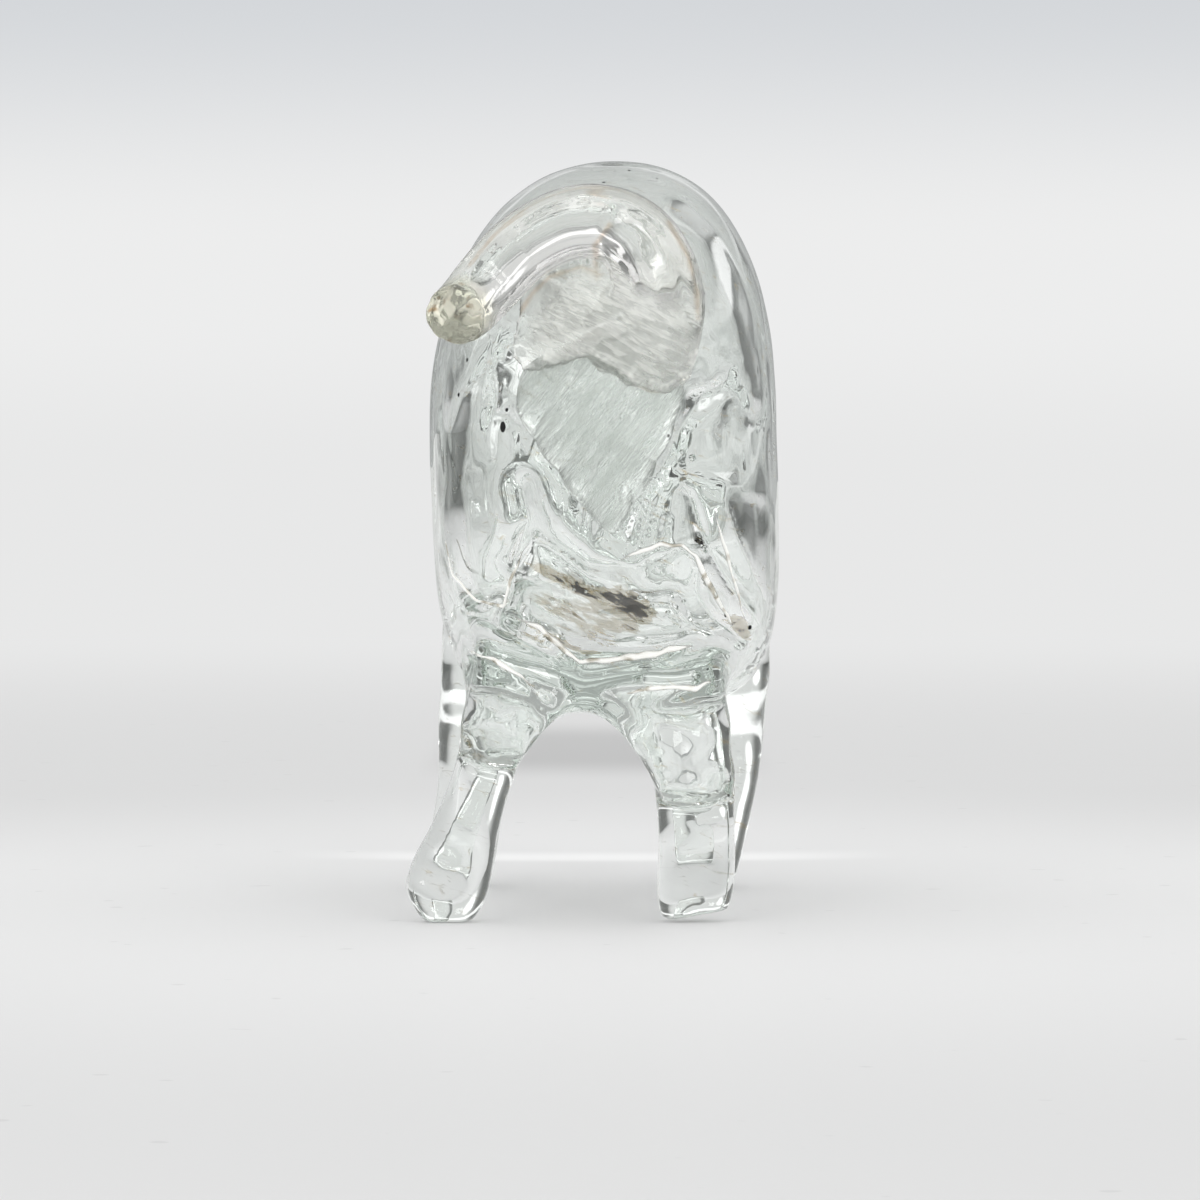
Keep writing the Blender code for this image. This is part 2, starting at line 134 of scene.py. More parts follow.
def bent_light(looking, up):
    """What the glass sees past the floor: pale walls, dark cards at the sides and overhead, bright strips."""
    right_card = card(looking, (1, 0.85, 0.1), 29, 12)
    left_card = card(looking, (-1, 0.65, 0.1), 31, 12)
    dark = (right_card + left_card + 0.5 * up.step(0.42, 0.72)).step(0.0, 1.0)
    right_strip = 0.25 * card(looking, (0.34, 1, 0.1), 4, 3)
    left_strip = card(looking, (-0.30, 1, 0.1), 4, 3)
    lamp_row = 0.7 * (up.step(0.22, 0.27) - up.step(0.33, 0.39))
    bright = (right_strip + left_strip + lamp_row).step(0.0, 1.0)
    across = looking.node("ShaderNodeSeparateXYZ", sockets={0: looking}, output="X")
    wall = across.step(-0.25, 0.15).mixed((0.66, 0.67, 0.66, 1.0), (0.72, 0.73, 0.72, 1.0))
    return bright.mixed(dark.mixed(wall, (0.13, 0.135, 0.13, 1.0)), grey(1.3))


light_on_board = grey(1.15)
soft_box_on_gloss = grey(3.5)
horizon_grey = (0.805, 0.807, 0.807, 1.0)
height = room.node("ShaderNodeSeparateXYZ", sockets={0: direction}, output="Z")
low_wall = height.step(0.0, 0.028).mixed(horizon_grey, (0.845, 0.847, 0.847, 1.0))
backdrop = height.step(0.040, 0.088).mixed(low_wall, (0.655, 0.675, 0.700, 1.0))
on_gloss = card(direction, (0, -0.9, 1), 16, 4).mixed((0.36, 0.37, 0.37, 1.0), soft_box_on_gloss)
from_camera = room.node("ShaderNodeLightPath", output="Is Camera Ray")
from_gloss = room.node("ShaderNodeLightPath", output="Is Glossy Ray")
from_glass = room.node("ShaderNodeLightPath", output="Is Transmission Ray")
board_bounces = room.node("ShaderNodeLightPath", output="Diffuse Depth")
shown = from_glass.mixed(from_gloss.mixed(grey(1.0), on_gloss), bent_light(direction, height))
lit = board_bounces.maths("MINIMUM", board_bounces, 1.0).mixed(shown, light_on_board)
light = room.node("ShaderNodeBackground", sockets={"Color": from_camera.mixed(lit, backdrop)})
room.node("ShaderNodeOutputWorld", sockets={"Surface": light})

soft_box_size = 0.28
soft_box_power = 1.3
soft_box_place = (0.55, -1.2, 0.55)
soft_box_aim = Vector((0, 0, 0.05))
for side in (-1, 1):
    data = bpy.data.lights.new("soft_box", "AREA")
    data.size = soft_box_size
    data.energy = soft_box_power
    lamp = bpy.data.objects.new("soft_box", data)
    lamp.location = (side * soft_box_place[0], soft_box_place[1], soft_box_place[2])
    lamp.rotation_euler = (soft_box_aim - lamp.location).to_track_quat("-Z", "Y").to_euler()
    bpy.context.scene.collection.objects.link(lamp)

# Floor
# A pale satin board, scuffed and dusty, that the pig stands on. Past the pig it fades into the backdrop, so
# no horizon shows. A bright line of painted light lies behind the feet, where the glass would gather light,
# and a soft painted shadow lies past it.
floor_reach = 40


def put(name, shape, material, smooth=True):
    """An object at the origin from a bmesh whose places are the world's."""
    mesh = bpy.data.meshes.new(name)
    shape.to_mesh(mesh)
    shape.free()
    if smooth:
        mesh.shade_smooth()
    mesh.materials.append(material)
    obj = bpy.data.objects.new(name, mesh)
    bpy.context.scene.collection.objects.link(obj)
    return obj


def blank(name):
    """A material with an empty node tree."""
    material = bpy.data.materials.new(name)
    material.use_nodes = True
    material.node_tree.nodes.clear()
    return material, Wire(material.node_tree)


board, finish = blank("satin_board_with_painted_light")
place = finish.node("ShaderNodeTexCoord", output="Object")
distance = finish.node("ShaderNodeVectorMath", {"operation": "LENGTH"}, {0: place}, "Value")
turned = {"Vector": place, "Rotation": (0, 0, 0.9), "Scale": (9, 300, 1)}
long_marks = finish.node("ShaderNodeMapping", sockets=turned)
scratch = finish.node("ShaderNodeTexNoise", sockets={"Vector": long_marks, "Scale": 1.0, "Detail": 3.0})
speck = finish.node("ShaderNodeTexNoise", sockets={"Vector": place, "Scale": 220.0, "Detail": 1.0})
# The board is painted paler close to the pig than farther off: painted light that lifts the shade the pig
# casts around its feet.
pale = distance.step(0.03, 0.24).mixed(grey(0.82), grey(0.69))
dust = 0.035 * scratch.step(0.70, 0.76) + 0.16 * speck.step(0.74, 0.78)
dusty = dust.mixed(pale, grey(0.30))
behind = finish.node("ShaderNodeSeparateXYZ", sockets={0: place}, output="Y")
across = finish.node("ShaderNodeSeparateXYZ", sockets={0: place}, output="X")
beside = across.maths("ABSOLUTE", across)
arc = behind - 4.0 * beside * beside
# Painted light: a bright line painted on the board behind the feet, in place of light gathered by the glass.
painted_caustic_line = (arc.step(0.058, 0.066) - arc.step(0.068, 0.082)) * beside.step(0.040, 0.016)
# Painted shadow: a darker band painted on the board past the pig, seen between its legs.
painted_shadow_band = (behind.step(0.24, 0.31) - behind.step(0.38, 0.46)) * beside.step(0.030, 0.018)
# The board's colour: dust and scratches, with the painted light line and the painted shadow laid over them.
marks = painted_caustic_line.mixed((0.9 * painted_shadow_band).mixed(dusty, grey(0.50)), grey(0.94))
grain = finish.node("ShaderNodeTexNoise", sockets={"Vector": place, "Scale": 900.0, "Detail": 2.0})
relief = finish.node("ShaderNodeBump", sockets={"Strength": 0.1, "Distance": 0.0002, "Height": grain})
near = finish.node(
    "ShaderNodeBsdfPrincipled",
    sockets={"Base Color": marks, "Roughness": 0.5, "Specular IOR Level": 0.12, "Normal": relief},
)
outward = finish.node("ShaderNodeVectorMath", {"operation": "NORMALIZE"}, {0: place})
level = 0.0 * distance
from_camera = finish.node("ShaderNodeLightPath", output="Is Camera Ray")
faded_colour = from_camera.mixed(bent_light(outward, level), horizon_grey)
faded = finish.node("ShaderNodeEmission", sockets={"Color": faded_colour})
mixed = finish.node("ShaderNodeMixShader", sockets={0: distance.step(0.25, 1.0), 1: near, 2: faded})
finish.node("ShaderNodeOutputMaterial", sockets={"Surface": mixed})
plane = bmesh.new()
bmesh.ops.create_grid(plane, x_segments=1, y_segments=1, size=floor_reach)
floor = put("floor", plane, board, smooth=False)

# Blown body
# One bubble of faintly green glass, tall and narrow, with a flat thick belly. The legs, head, snout and ears
# are hot bits of the same glass, melted onto it, so they have one skin and no joints.
mm = 0.001
touching = 0.01 * mm
torso_middle = Vector((0.8, -6.4, 51.2)) * mm
torso_length = 78 * mm
torso_width = 37.6 * mm
torso_height = 59 * mm
wall = 2.2 * mm
belly_wall = 4.2 * mm
end_roundness = 2.6
front_taper = 0.10
back_lean = 1.4 * mm
belly_lean = 0.9 * mm


def clamped(value):
    return max(0.0, min(1.0, value))


def eased(value):
    """Runs smoothly from 0 to 1 as the value does."""
    share = clamped(value)
    return share * share * (3 - 2 * share)


def bent(value, roundness):
    """A sine or cosine, bent so that it draws a superellipse in place of a circle."""
    return math.copysign(abs(value) ** (2 / roundness), value)


def ball(turns, steps, radius=1.0):
    """A sphere with its poles on Y."""
    shape = bmesh.new()
    bmesh.ops.create_uvsphere(shape, u_segments=turns, v_segments=steps, radius=radius)
    bmesh.ops.rotate(shape, matrix=Matrix.Rotation(math.radians(90), 3, "X"), verts=shape.verts)
    return shape


def lean_at(rise):
    """How far the torso leans to the pig's right at this height above its middle."""
    share = rise / (torso_height / 2)
    return back_lean * share**2 if rise > 0 else -belly_lean * share


def flank_roundness(rise):
    """The torso's section is nearly square below its middle, where the belly is flat, and rounder above."""
    return 4.6 if rise < 0 else 2.3


def bubble(turns, steps, inset=0.0, belly_inset=0.0):
    """The torso's shape about its own middle, shrunk by the insets."""
    shape = ball(turns, steps)
    for vert in shape.verts:
        along = max(-1.0, min(1.0, vert.co.y))
        turn = math.atan2(vert.co.z, vert.co.x)
        roundness = flank_roundness(vert.co.z)
        size = bent(math.sqrt(1 - along * along), end_roundness)
        size *= 1 - front_taper * max(0.0, along) ** 2
        high = torso_height / 2 - (belly_inset if vert.co.z < 0 else inset)
        rise = high * size * bent(math.sin(turn), roundness)
        across = (torso_width / 2 - inset) * size * bent(math.cos(turn), roundness)
        lengthwise = (torso_length / 2 - inset) * bent(along, end_roundness)
        vert.co = Vector((across + lean_at(rise), lengthwise, rise))
    return shape


def rump_skin(across, rise):
    """Where the skin of the rump lies along Y, at this place across and above the torso's middle."""
    roundness = flank_roundness(rise)
    wide = abs((across - lean_at(rise)) / (torso_width / 2)) ** roundness
    high = abs(rise / (torso_height / 2)) ** roundness
    size = min(0.999, (wide + high) ** (1 / roundness))
    return -torso_length / 2 * (1 - size**end_roundness) ** (1 / end_roundness)


def finished(shape, *modifiers):
    """The shape that these modifiers make of a bmesh. Each is a type and its settings."""
    mesh = bpy.data.meshes.new("rough")
    shape.to_mesh(mesh)
    shape.free()
    obj = bpy.data.objects.new("rough", mesh)
    bpy.context.scene.collection.objects.link(obj)
    for kind, settings in modifiers:
        modifier = obj.modifiers.new(kind, kind)
        for name, value in settings.items():
            setattr(modifier, name, value)
    bpy.context.view_layer.update()
    seen = obj.evaluated_get(bpy.context.evaluated_depsgraph_get())
    made = bpy.data.meshes.new_from_object(seen)
    result = bmesh.new()
    result.from_mesh(made)
    bpy.data.objects.remove(obj)
    bpy.data.meshes.remove(mesh)
    bpy.data.meshes.remove(made)
    return result


def joined(*shapes):
    """One bmesh with all of these in it."""
    result = bmesh.new()
    for shape in shapes:
        mesh = bpy.data.meshes.new("part")
        shape.to_mesh(mesh)
        shape.free()
        result.from_mesh(mesh)
        bpy.data.meshes.remove(mesh)
    return result


def copied(node, grown):
    """A merged copy of a solid, its skin moved out so that it reaches into its neighbours."""
    shape = bmesh.new()
    shape.from_mesh(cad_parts[node].data)
    bmesh.ops.remove_doubles(shape, verts=shape.verts, dist=touching)
    shape.normal_update()
    places = [vert.co + vert.normal * grown for vert in shape.verts]
    for vert, spot in zip(shape.verts, places):
        vert.co = spot
    return shape


def drawn(stations, sides=12):
    """A closed rod along Z through stations of x, y, z, width, depth and roundness."""
    shape = bmesh.new()
    last = len(stations) - 1
    bmesh.ops.create_cone(shape, cap_ends=True, segments=sides, radius1=1, radius2=1, depth=last)
    bmesh.ops.translate(shape, vec=(0, 0, last / 2), verts=shape.verts)
    lengthwise = [edge for edge in shape.edges if abs(edge.verts[0].co.z - edge.verts[1].co.z) > last / 2]
    bmesh.ops.subdivide_edges(shape, edges=lengthwise, cuts=last - 1)
    for vert in shape.verts:
        x, y, z, width, depth, roundness = stations[round(vert.co.z)]
        across = width / 2 * bent(vert.co.x, roundness)
        deep = depth / 2 * bent(vert.co.y, roundness)
        vert.co = Vector((x + across, y + deep, z)) * mm
    bmesh.ops.recalc_face_normals(shape, faces=shape.faces)
    return shape


# Above the thighs the bits narrow into the belly: height, shares of the thigh's width and depth, roundness.
hind_top = [(26.2, 0.96, 0.90, 2.8), (30.2, 0.80, 0.70, 2.4), (36.2, 0.4, 0.4, 2.0)]
front_top = [(26.2, 1.0, 1.0, 5.0), (34.2, 0.97, 0.85, 2.6), (42.2, 0.6, 0.66, 2.0)]
hind = {"thin": 4.2, "thick": 11.6, "squareness": 2.8, "step": 1.4, "top": hind_top}
front = {"thin": 6.2, "thick": 12.2, "squareness": 5.0, "step": 3.6, "top": front_top}


def leg(y, thigh, pinch, shank, foot, sole, thin, thick, squareness, step, top, sole_tilt=0.0):
    """A drawn bit, flared at the belly and pinched flat below the thigh.

    The thigh, pinch, shank and foot each have a height, a place across and a width, in millimetres. The sole
    has a place across and a width.
    """
    thigh_z, thigh_x, thigh_width = thigh
    pinch_z, pinch_x, pinch_width = pinch
    shank_z, shank_x, shank_width = shank
    foot_z, foot_x, foot_width = foot
    sole_x, sole_width = sole
    knee_z = pinch_z + step
    calf_x, calf_z = (thigh_x + 2 * pinch_x) / 3, (thigh_z + 2 * knee_z) / 3
    calf_width = (thigh_width + 2 * pinch_width) / 3
    stations = [
        (sole_x, y, -2.5, sole_width, 4.4, 3.0),
        (sole_x, y, 0, sole_width, 4.4, 3.0),
        (foot_x, y, 0.35 * foot_z, 0.88 * foot_width, 5.0, 3.4),
        (foot_x, y, foot_z, foot_width, 4.8, 3.6),
        (shank_x, y, shank_z, shank_width, thin, 4.2),
        (pinch_x, y, pinch_z, pinch_width, thin, 4.2),
        (pinch_x, y, knee_z, 1.08 * pinch_width, 0.7 * thick, 2.4),
        (calf_x, y, calf_z, calf_width, 0.8 * thick, squareness),
        (thigh_x, y, thigh_z, thigh_width, thick, squareness),
    ]
    for z, wide, deep, roundness in top:
        stations.append((thigh_x, y, z, wide * thigh_width, deep * thick, roundness))
    shape = finished(drawn(stations), ("SUBSURF", {"levels": 3, "render_levels": 3}))
    everything = list(shape.verts) + list(shape.edges) + list(shape.faces)
    low_corner = (sole_x - sole_width / 2) * mm
    cut = bmesh.ops.bisect_plane(
        shape, geom=everything, plane_co=(low_corner, 0, 0), plane_no=(-sole_tilt, 0, 1), clear_inner=True
    )
    rim = [item for item in cut["geom_cut"] if isinstance(item, bmesh.types.BMEdge)]
    bmesh.ops.contextual_create(shape, geom=rim)
    bmesh.ops.translate(shape, vec=(torso_middle.x, torso_middle.y, 0), verts=shape.verts)
    return shape


def between(points, at):
    """The value on the straight lines through these points of place and value."""
    for (start, first), (end, last) in zip(points, points[1:]):
        if at <= end:
            break
    return first + clamped((at - start) / (end - start)) * (last - first)


hind_y, front_y = -26, 26
right_sole_tilt = 0.16
legs = [
    leg(
        hind_y, thigh=(22.8, -9.4, 9.6), pinch=(18.0, -11.6, 6.8), shank=(11.0, -14.0, 6.8),
        foot=(5.2, -16.3, 9.8), sole=(-16.2, 4.8), **hind,
    ),
    leg(
        hind_y, thigh=(22.8, 8.4, 9.2), pinch=(13.6, 9.6, 8.6), shank=(8.0, 9.9, 8.2),
        foot=(3.6, 9.7, 8.6), sole=(8.8, 6.4), sole_tilt=right_sole_tilt, **hind,
    ),
    leg(
        front_y, thigh=(24.0, -11.3, 14.4), pinch=(16.0, -14.4, 8.6), shank=(10.0, -15.0, 7.8),
        foot=(4.4, -16.0, 8.4), sole=(-16.2, 6.2), **front,
    ),
    leg(
        front_y, thigh=(24.0, 11.9, 14.6), pinch=(15.0, 14.0, 8.6), shank=(9.4, 13.4, 7.8),
        foot=(4.0, 12.0, 8.0), sole=(11.8, 6.2), **front,
    ),
]

# The hind thighs run together under the rump in one web, arched between the legs and flat at the back.
haunch_left, haunch_right, haunch_top = -14.9, 13.4, 33.0
arch = [
    (-14.9, 17.4), (-8.3, 17.2), (-6.5, 19.8), (-4.8, 21.5), (-2.6, 22.3), (-0.1, 21.6),
    (1.9, 19.9), (3.6, 17.7), (4.9, 15.5), (5.9, 13.4), (13.4, 13.2),
]
haunch_back = [(0.0, -30.2), (0.25, -31.4), (0.5, -32.0), (1.0, -32.0)]
haunch_front = [(0.0, -21.8), (0.25, -20.6), (0.6, -19.8), (1.0, -19.8)]
blend_starts, blend_height, under_skin = 23.5, 7.0, 0.4
haunch = bmesh.new()
bmesh.ops.create_grid(haunch, x_segments=56, y_segments=20, size=0.5)
grown = bmesh.ops.extrude_face_region(haunch, geom=list(haunch.faces), use_keep_orig=True)
front_side = {item for item in grown["geom"] if isinstance(item, bmesh.types.BMVert)}
for vert in haunch.verts:
    x = haunch_left + (vert.co.x + 0.5) * (haunch_right - haunch_left)
    low = between(arch, x)
    share = vert.co.y + 0.5
    z = low + share * (haunch_top - low)
    aside = abs((x - haunch_left) / (haunch_right - haunch_left) * 2 - 1) ** 4
    y = between(haunch_front, share) - 3.0 * aside
    if vert not in front_side:
        y = between(haunch_back, share) + (2.0 + 3.0 * share) * aside
        blend = eased((z - blend_starts + 2.5 * aside) / (blend_height - 1.5 * aside))
        rump = rump_skin(x * mm, z * mm - torso_middle.z) / mm
        y += blend * (rump + under_skin - y)
    vert.co = Vector((x, y, z)) * mm + Vector((torso_middle.x, torso_middle.y, 0))
bmesh.ops.recalc_face_normals(haunch, faces=haunch.faces)
skin = bubble(224, 144)
bmesh.ops.translate(skin, vec=torso_middle, verts=skin.verts)
overlap = 0.2 * mm
body_detail = 0.66 * mm
bits = [copied(node, overlap) for node in ("head", "snout", "ear_left", "ear_right")]
melted = finished(
    joined(skin, haunch, *legs, *bits),
    ("REMESH", {"mode": "VOXEL", "voxel_size": body_detail}),
    ("SMOOTH", {"factor": 0.5, "iterations": 9}),
)

# Where the thighs meet the rump the glass ran together, so this band is smoothed again, most at its middle.
loins_low, loins_high, loins_back = 21, 36, -20 * mm
all_ways = {"use_axis_x": True, "use_axis_y": True, "use_axis_z": True}
for margin in range(5):
    low, high = (loins_low + margin) * mm, (loins_high - margin) * mm
    loins = [vert for vert in melted.verts if low < vert.co.z < high and vert.co.y < loins_back]
    for _ in range(6):
        bmesh.ops.smooth_vert(melted, verts=loins, factor=0.5, **all_ways)


def to_line(x, z, points):
    """The distance from a point to a line through others."""
    nearest = math.inf
    for (x1, z1), (x2, z2) in zip(points, points[1:]):
        along = clamped(((x - x1) * (x2 - x1) + (z - z1) * (z2 - z1)) / ((x2 - x1) ** 2 + (z2 - z1) ** 2))
        nearest = min(nearest, math.hypot(x - x1 - along * (x2 - x1), z - z1 - along * (z2 - z1)))
    return nearest


# Seams where the hot bits were pressed on stand out from the skin: points, width and rise in millimetres.
seams = [
    ([(-14.2, 28.4), (-11.3, 27.4), (-9.1, 26.3), (-7.1, 24.9), (-4.6, 22.4)], 0.9, 0.40),
    ([(-7.1, 24.9), (-7.6, 22.6), (-8.4, 20.1), (-7.4, 17.6)], 1.2, 0.15),
    ([(6.9, 23.5), (9.7, 24.6), (13.3, 25.7)], 0.9, 0.40),
    ([(1.9, 23.4), (5.5, 21.3), (8.0, 17.9), (9.4, 13.9)], 1.2, 0.20),
    (
        [(-8.5, 31.6), (-5.7, 30.2), (-2.9, 27.7), (-1.2, 26.3), (2.7, 26.8), (8.3, 27.8), (10.0, 29.4)],
        0.9, 0.65,
    ),
]
seams_back, seams_low, seams_high = -28, 12, 33

# The skin is faintly wavy but for the belly, and the left hind foot has a print of the pincers.
belly_z, belly_reach = 26.5, 6.5
waviness, shank_waviness = 0.07, 0.08
print_x, print_z = -16.8, 5.6
print_half_width, print_half_height, print_depth = 2.6, 1.9, 0.4
melted.normal_update()
waves = []
for vert in melted.verts:
    at = vert.co / mm
    belly = math.exp(-(((at.z - belly_z) / belly_reach) ** 2))
    wave = waviness * (1 - belly) * noise.noise(at * 0.22)
    on_right_shank = at.z < 14 and at.x > 3
    if on_right_shank:
        wave += shank_waviness * noise.noise(at * 0.30)
    if at.y < seams_back and vert.normal.y < -0.3:
        if seams_low < at.z < seams_high:
            wave += sum(rise * math.exp(-to_line(at.x, at.z, line) / width) for line, width, rise in seams)
        from_print = math.hypot((at.x - print_x) / print_half_width, (at.z - print_z) / print_half_height)
        wave -= print_depth / (1 + math.exp((from_print - 1) * 6))
    waves.append(vert.co + vert.normal * wave * mm)
for vert, spot in zip(melted.verts, waves):
    spot.z = max(0.0, spot.z)
    vert.co = spot


def swept(data, merged):
    """The closed shape of a curve and its bevel. Points nearer together than a distance are merged."""
    curve = bpy.data.objects.new(data.name, data)
    bpy.context.scene.collection.objects.link(curve)
    bpy.context.view_layer.update()
    made = bpy.data.meshes.new_from_object(curve.evaluated_get(bpy.context.evaluated_depsgraph_get()))
    shape = bmesh.new()
    shape.from_mesh(made)
    bpy.data.objects.remove(curve)
    bpy.data.meshes.remove(made)
    bmesh.ops.remove_doubles(shape, verts=shape.verts, dist=merged)
    bmesh.ops.recalc_face_normals(shape, faces=shape.faces)
    return shape


# Where the hot bits were pressed on, the edge of the glass stands out as a thread. The threads are painted
# white, a painted highlight along these edges.
outside = bvhtree.BVHTree.FromBMesh(melted)
behind_rump = -70
splits = 6
wander = 0.25


def thread(points, thickness):
    """A thread of glass, half sunk in the rump's skin. Its points are places across and above the floor."""
    data = bpy.data.curves.new("thread", "CURVE")
    data.dimensions = "3D"
    data.resolution_u = 2
    data.bevel_depth = thickness * mm
    data.bevel_resolution = 3
    data.use_fill_caps = True
    spline = data.splines.new("NURBS")
    spline.use_endpoint_u = True
    spline.order_u = 3
    steps = [
        (x1 + part / splits * (x2 - x1), z1 + part / splits * (z2 - z1))
        for (x1, z1), (x2, z2) in zip(points, points[1:])
        for part in range(splits)
    ]
    spline.points.add(len(steps) - 1)
    for index, ((x, z), point) in enumerate(zip(steps, spline.points)):
        x += wander * noise.noise(Vector((x, z, 4)) * 0.7)
        z += wander * noise.noise(Vector((x, z, 6)) * 0.7)
        spot = outside.ray_cast(Vector((x, behind_rump, z)) * mm, Vector((0, 1, 0)))[0]
        from_end = min(index, len(steps) - 1 - index)
        point.co = (*(spot + Vector((0, 0.5 * thickness * mm, 0))), 1)
        point.radius = min(1.0, 0.25 + 0.15 * from_end) * (1 + 0.7 * noise.noise(Vector((x, z, 9)) * 0.6))
    return swept(data, 0.1 * touching)


belly_line = [
    (-8.4, 32.0), (-5.8, 31.0), (-2.7, 28.1), (-1.4, 27.4), (2.6, 27.6), (6.0, 28.2), (7.7, 28.7),
    (10.4, 29.1),
]
right_fold = [
    (2.5, 38.0), (4.7, 39.1), (6.9, 39.7), (8.8, 39.5), (10.3, 38.5), (11.2, 36.3), (13.0, 33.2),
    (14.4, 30.6),
]
right_flank = [(12.3, 43.2), (13.4, 39.3), (14.7, 35.0), (15.8, 31.1)]
left_flank = [(-15.8, 39.8), (-14.9, 36.3), (-12.3, 33.7), (-9.4, 33.2), (-8.7, 35.9), (-7.1, 39.8)]
right_thigh = [(3.4, 24.1), (6.9, 24.8), (10.3, 24.6), (12.4, 25.4)]
left_thigh = [(-13.1, 28.2), (-10.5, 27.6), (-8.0, 26.1), (-5.8, 24.5)]
threads = joined(
    thread(belly_line, 0.36),
    thread(right_fold, 0.28),
    thread(right_flank, 0.20),
    thread(left_flank, 0.17),
    thread(right_thigh, 0.24),
    thread(left_thigh, 0.26),
)

# The hollow inside the bubble. Its back wall is creased where the blow hole was pinched shut and sealed. A
# ridge has points across and above the torso's middle, a width and how far it stands out, in millimetres.
ridges = [
    ([(-9.0, 1.5), (-5.1, -2.6), (-3.1, -5.6), (-0.3, -9.5)], 1.0, 0.8),
    ([(9.0, 3.6), (6.8, -0.7), (5.5, -3.7), (3.2, -6.9), (1.6, -10.1)], 1.0, 0.8),
    ([(1.3, -12.8), (2.8, -13.3), (4.6, -12.2), (6.8, -11.6), (9.1, -11.6)], 0.9, -0.7),
    (
        [(-8.5, -12.8), (-7.0, -10.8), (-5.0, -12.1), (-2.2, -14.1), (1.1, -15.6), (3.1, -16.7), (6.2, -16.8)],
        0.9, 1.3,
    ),
    ([(-8.0, -14.2), (-5.2, -14.8), (-2.4, -16.4), (0.6, -18.6)], 0.8, -0.7),
    ([(6.2, -16.8), (7.6, -18.3), (11.1, -21.6)], 0.9, 0.8),
    ([(8.0, -6.7), (8.6, -9.1), (9.6, -12.1), (11.3, -15.8), (14.1, -20.6)], 1.2, 1.2),
    ([(11.3, -7.3), (12.3, -10.8), (14.1, -15.8), (15.1, -20.1)], 1.2, -0.9),
    ([(8.8, -13.6), (8.6, -15.8), (10.1, -18.8), (11.6, -20.6)], 0.8, -0.6),
    ([(7.3, -3.5), (9.5, -3.2), (12.6, -3.8)], 0.9, 0.7),
    ([(11.8, -5.3), (14.9, -5.8), (17.1, -5.5)], 0.9, -0.8),
    ([(16.6, -6.5), (16.9, -13.3), (16.1, -18.3)], 1.2, 0.9),
    ([(11.8, 1.0), (8.8, -2.6), (12.7, -3.7)], 0.8, 0.6),
    ([(-7.3, 9.3), (-9.0, 8.5), (-10.0, 5.9), (-10.3, 0.7)], 1.0, 0.8),
    ([(-10.7, 6.6), (-13.0, 3.7), (-14.3, -1.3), (-11.7, -0.7)], 0.8, 0.7),
    ([(-8.0, -5.5), (-7.2, -9.1), (-8.5, -12.8), (-9.7, -19.3)], 1.2, 1.1),
    ([(-17.7, -3.3), (-17.0, -8.3), (-16.0, -10.8), (-14.5, -13.8), (-13.5, -16.8), (-12.2, -18.0)], 1.4, 1.2),
    ([(-12.2, -18.0), (-11.0, -18.1), (-10.0, -17.0), (-9.6, -19.3)], 1.2, 1.1),
    ([(6.8, 22.8), (10.1, 20.1), (12.1, 16.5), (13.8, 12.6), (14.7, 9.3), (15.1, 3.7), (13.9, 0.9)], 1.4, 1.2),
    ([(9.0, 3.6), (11.3, 4.9), (13.9, 0.9), (16.7, 2.3)], 1.0, 0.9),
    ([(-10.1, 23.5), (-13.2, 19.4), (-15.6, 13.7), (-16.1, 9.6), (-15.6, 3.4), (-14.5, 0.0)], 1.4, 1.2),
]

# A patch of fine wrinkles has its middle, reach, angle, depth, and the width and length of its wrinkles.
wrinkles = [
    ((2.5, -7.5), (4.5, 4.0), 78, 0.45, 0.9, 6.0),
    ((-2.0, -17.0), (5.0, 2.0), -24, 0.45, 0.9, 7.0),
    ((-9.8, 4.5), (1.2, 4.5), 80, 0.40, 0.8, 2.0),
    ((11.5, 4.5), (2.8, 3.0), 40, 0.45, 0.9, 2.0),
]
thick_rump = 0.8
too_faint = 0.02


def creased(x, z):
    """How far the back wall of the hollow is pushed in, at this place across and above its middle."""
    push = thick_rump
    for points, width, depth in ridges:
        push += depth * math.exp(-to_line(x, z, points) / width)
    for (middle_x, middle_z), (wide, high), angle, depth, across, along in wrinkles:
        fade = math.exp(-(((x - middle_x) / wide) ** 2) - ((z - middle_z) / high) ** 2)
        if fade > too_faint:
            turn = math.radians(angle)
            lengthwise = (x * math.cos(turn) + z * math.sin(turn)) / along
            crosswise = (z * math.cos(turn) - x * math.sin(turn)) / across
            push += depth * fade * (1 - 2.4 * abs(noise.noise(Vector((lengthwise, crosswise, angle)))))
    return push


# The floor of the hollow has a lump over each front leg and rises to a shallow V at the rear.
lumps = [((-11, 26, -26), 8, 2.5), ((11, 26, -26), 8, 2.5)]
hollow_floor = [
    (-18, -15.0), (-9.4, -19.3), (-3.7, -23.3), (-1.8, -24.4), (2.0, -24.0), (7.4, -22.8), (13.0, -20.5),
    (18, -16),
]
rear_starts, rear_length, crease_length = 14, 19, 8
hollow = bubble(256, 144, wall, belly_wall)
for vert in hollow.verts:
    place_in = vert.co / mm
    for middle, reach, height in lumps:
        vert.co.z += height * mm * math.exp(-(((place_in - Vector(middle)).length / reach) ** 2))
    vert.co += vert.co.normalized() * 0.30 * mm * noise.noise(place_in * 0.06)
    if vert.co.y < 0:
        floor_z = between(hollow_floor, vert.co.x / mm) * mm
        rear = eased((-vert.co.y / mm - rear_starts) / rear_length)
        vert.co.z += rear * max(0.0, floor_z - vert.co.z)
    if vert.co.y > -rear_starts * mm:
        continue
    x, z = (vert.co.x - lean_at(vert.co.z)) / mm, vert.co.z / mm
    vert.co.y += creased(x, z) * mm * min(1.0, (-rear_starts - vert.co.y / mm) / crease_length)
bmesh.ops.translate(hollow, vec=torso_middle, verts=hollow.verts)
bmesh.ops.reverse_faces(hollow, faces=hollow.faces)


